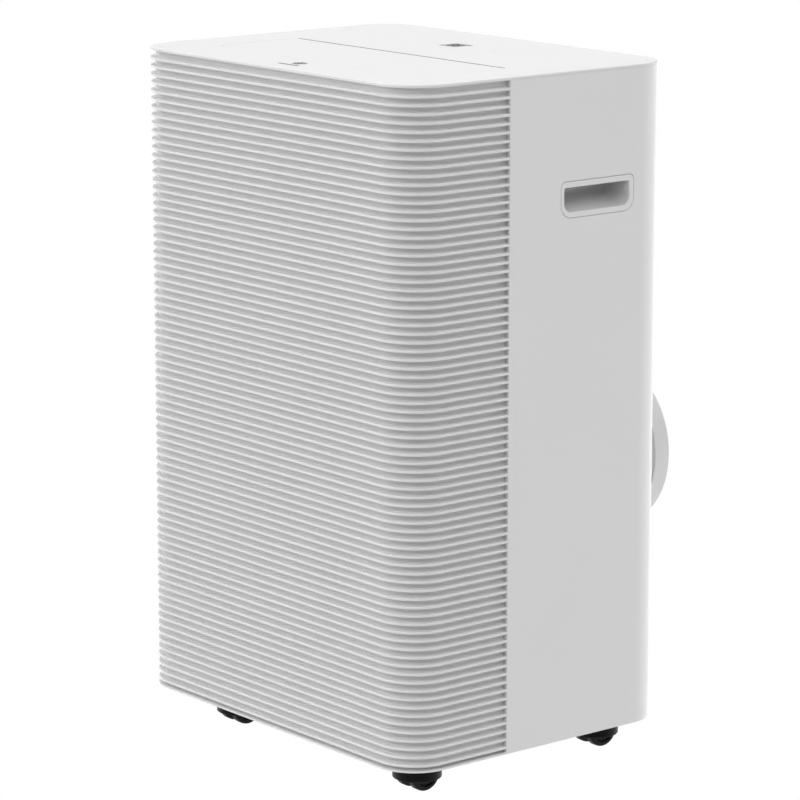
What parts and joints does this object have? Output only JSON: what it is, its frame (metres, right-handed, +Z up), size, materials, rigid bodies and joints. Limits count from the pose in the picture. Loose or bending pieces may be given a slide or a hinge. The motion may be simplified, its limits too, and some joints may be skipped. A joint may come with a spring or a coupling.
{
  "type": "portable air conditioner",
  "caption": "Upright portable air conditioner on four castors, with ribbed front casing, top louvre flap, side carrying recesses and a round rear exhaust collar.",
  "frame": {"origin": "on the floor under the castors, at the middle of the bounding box in X and Y", "axes": "+Z up; -Y out of the ribbed front; +Y out of the rear, along the exhaust collar; +X to the right seen from the front"},
  "size_m": [0.45, 0.405, 0.714],
  "materials": {
    "casing_white": "fine satin moulded texture",
    "duct_grey": "matte",
    "fan_grey": "matte",
    "filter_grey": "fine mesh",
    "window_dark": "smoked window",
    "board_green": "circuit board lacquer",
    "motor_steel": "zinc plated can",
    "fin_aluminium": "thin fins",
    "black_enamel": "gloss black enamel",
    "black_rubber": "matte rubber",
    "zinc_steel": "zinc plate",
    "copper": "drawn copper",
    "capacitor_can": "satin can",
    "pump_black": "matte",
    "base_black": "matte",
    "castor_black": "satin",
    "wheel_black": "satin nylon"
  },
  "bodies": {
    "housing": {"front_grille": "casing_white", "side_panel_right": "casing_white", "side_panel_left": "casing_white", "rear_panel": "casing_white", "top_rim": "casing_white", "top_deck": "casing_white", "handle_cup_right": "casing_white", "handle_cup_left": "casing_white", "outlet_duct": "duct_grey", "vane_frame": "duct_grey", "exhaust_elbow": "duct_grey", "condenser_scroll": "duct_grey", "evaporator_scroll": "duct_grey", "mid_deck": "duct_grey", "display_window": "window_dark", "display_board": "board_green", "main_board": "board_green", "flap_motor": "motor_steel", "vane_motor": "motor_steel", "condenser_motor": "motor_steel", "evaporator_motor": "motor_steel", "condenser_coil": "fin_aluminium", "evaporator_coil": "fin_aluminium", "compressor": "black_enamel", "accumulator": "black_enamel", "compressor_mounts": "black_rubber", "cord_gland": "black_rubber", "compressor_bolts": "zinc_steel", "rear_screws": "zinc_steel", "control_box": "zinc_steel", "suction_pipe": "copper", "discharge_pipe": "copper", "capillary_tube": "copper", "capacitor": "capacitor_can", "splash_pump": "pump_black", "base_pan": "base_black"},
    "flap": {"louvre_flap": "casing_white"},
    "air_link": {"vane_link": "duct_grey"},
    "evaporator_rotor": {"evaporator_wheel": "fan_grey"},
    "condenser_rotor": {"condenser_wheel": "fan_grey"},
    "upper_cartridge": {"upper_grille": "casing_white", "upper_filter": "filter_grey"},
    "lower_cartridge": {"lower_grille": "casing_white", "lower_filter": "filter_grey"},
    "collar": {"exhaust_collar": "casing_white"},
    "upper_plug": {"upper_drain_plug": "black_rubber"},
    "lower_plug": {"lower_drain_plug": "black_rubber"},
    "air_vane_1": {"vane_1": "duct_grey"},
    "air_vane_2": {"vane_2": "duct_grey"},
    "air_vane_3": {"vane_3": "duct_grey"},
    "air_vane_4": {"vane_4": "duct_grey"},
    "air_vane_5": {"vane_5": "duct_grey"},
    "castor_1": {"castor_fork_1": "castor_black"},
    "castor_roll_1": {"castor_wheels_1": "wheel_black"},
    "castor_2": {"castor_fork_2": "castor_black"},
    "castor_roll_2": {"castor_wheels_2": "wheel_black"},
    "castor_3": {"castor_fork_3": "castor_black"},
    "castor_roll_3": {"castor_wheels_3": "wheel_black"},
    "castor_4": {"castor_fork_4": "castor_black"},
    "castor_roll_4": {"castor_wheels_4": "wheel_black"}
  },
  "joints": [
    {"name": "flap_hinge", "type": "hinge", "parent": "housing", "child": "flap", "pos_m": [0, -0.038, 0.708], "axis": [-1, 0, 0], "range_deg": [0, 75]},
    {"name": "vane_turn_1", "type": "hinge", "parent": "housing", "child": "air_vane_1", "pos_m": [-0.12, -0.0845, 0.65], "axis": [0, 0, 1], "range_deg": [-25, 25]},
    {"name": "vane_turn_2", "type": "hinge", "parent": "housing", "child": "air_vane_2", "pos_m": [-0.06, -0.0845, 0.65], "axis": [0, 0, 1], "range_deg": [-25, 25]},
    {"name": "vane_turn_3", "type": "hinge", "parent": "housing", "child": "air_vane_3", "pos_m": [0, -0.0845, 0.65], "axis": [0, 0, 1], "range_deg": [-25, 25]},
    {"name": "vane_turn_4", "type": "hinge", "parent": "housing", "child": "air_vane_4", "pos_m": [0.06, -0.0845, 0.65], "axis": [0, 0, 1], "range_deg": [-25, 25]},
    {"name": "vane_turn_5", "type": "hinge", "parent": "housing", "child": "air_vane_5", "pos_m": [0.12, -0.0845, 0.65], "axis": [0, 0, 1], "range_deg": [-25, 25]},
    {"name": "link_slide", "type": "slide", "parent": "housing", "child": "air_link", "axis": [1, 0, 0], "range_m": [-0.012, 0.012]},
    {"name": "evaporator_spin", "type": "hinge", "parent": "housing", "child": "evaporator_rotor", "pos_m": [0, -0.1, 0.5], "axis": [0, 1, 0], "continuous": true},
    {"name": "condenser_spin", "type": "hinge", "parent": "housing", "child": "condenser_rotor", "pos_m": [-0.075, 0, 0.205], "axis": [0, 1, 0], "continuous": true},
    {"name": "upper_filter_pull", "type": "slide", "parent": "housing", "child": "upper_cartridge", "axis": [0, 1, 0], "range_m": [0, 0.08]},
    {"name": "lower_filter_pull", "type": "slide", "parent": "housing", "child": "lower_cartridge", "axis": [0, 1, 0], "range_m": [0, 0.08]},
    {"name": "collar_pull", "type": "slide", "parent": "housing", "child": "collar", "axis": [0, 1, 0], "range_m": [0, 0.05]},
    {"name": "upper_plug_pull", "type": "slide", "parent": "housing", "child": "upper_plug", "axis": [0, 1, 0], "range_m": [0, 0.03]},
    {"name": "lower_plug_pull", "type": "slide", "parent": "housing", "child": "lower_plug", "axis": [0, 1, 0], "range_m": [0, 0.03]},
    {"name": "castor_swivel_1", "type": "hinge", "parent": "housing", "child": "castor_1", "pos_m": [0.173, -0.1545, 0.05], "axis": [0, 0, 1], "continuous": true},
    {"name": "castor_spin_1", "type": "hinge", "parent": "castor_1", "child": "castor_roll_1", "pos_m": [0.173, -0.1485, 0.018], "axis": [1, 0, 0], "continuous": true},
    {"name": "castor_swivel_2", "type": "hinge", "parent": "housing", "child": "castor_2", "pos_m": [-0.1225, -0.1545, 0.05], "axis": [0, 0, 1], "continuous": true},
    {"name": "castor_spin_2", "type": "hinge", "parent": "castor_2", "child": "castor_roll_2", "pos_m": [-0.1225, -0.1485, 0.018], "axis": [1, 0, 0], "continuous": true},
    {"name": "castor_swivel_3", "type": "hinge", "parent": "housing", "child": "castor_3", "pos_m": [0.173, 0.0835, 0.05], "axis": [0, 0, 1], "continuous": true},
    {"name": "castor_spin_3", "type": "hinge", "parent": "castor_3", "child": "castor_roll_3", "pos_m": [0.173, 0.0895, 0.018], "axis": [1, 0, 0], "continuous": true},
    {"name": "castor_swivel_4", "type": "hinge", "parent": "housing", "child": "castor_4", "pos_m": [-0.1225, 0.0835, 0.05], "axis": [0, 0, 1], "continuous": true},
    {"name": "castor_spin_4", "type": "hinge", "parent": "castor_4", "child": "castor_roll_4", "pos_m": [-0.1225, 0.0895, 0.018], "axis": [1, 0, 0], "continuous": true}
  ],
  "couplings": [
    {"joint": "vane_turn_1", "follows": "vane_turn_3", "ratio": 1},
    {"joint": "vane_turn_2", "follows": "vane_turn_3", "ratio": 1},
    {"joint": "vane_turn_4", "follows": "vane_turn_3", "ratio": 1},
    {"joint": "vane_turn_5", "follows": "vane_turn_3", "ratio": 1},
    {"joint": "link_slide", "follows": "vane_turn_3", "m_per_rad": 0.025}
  ]
}
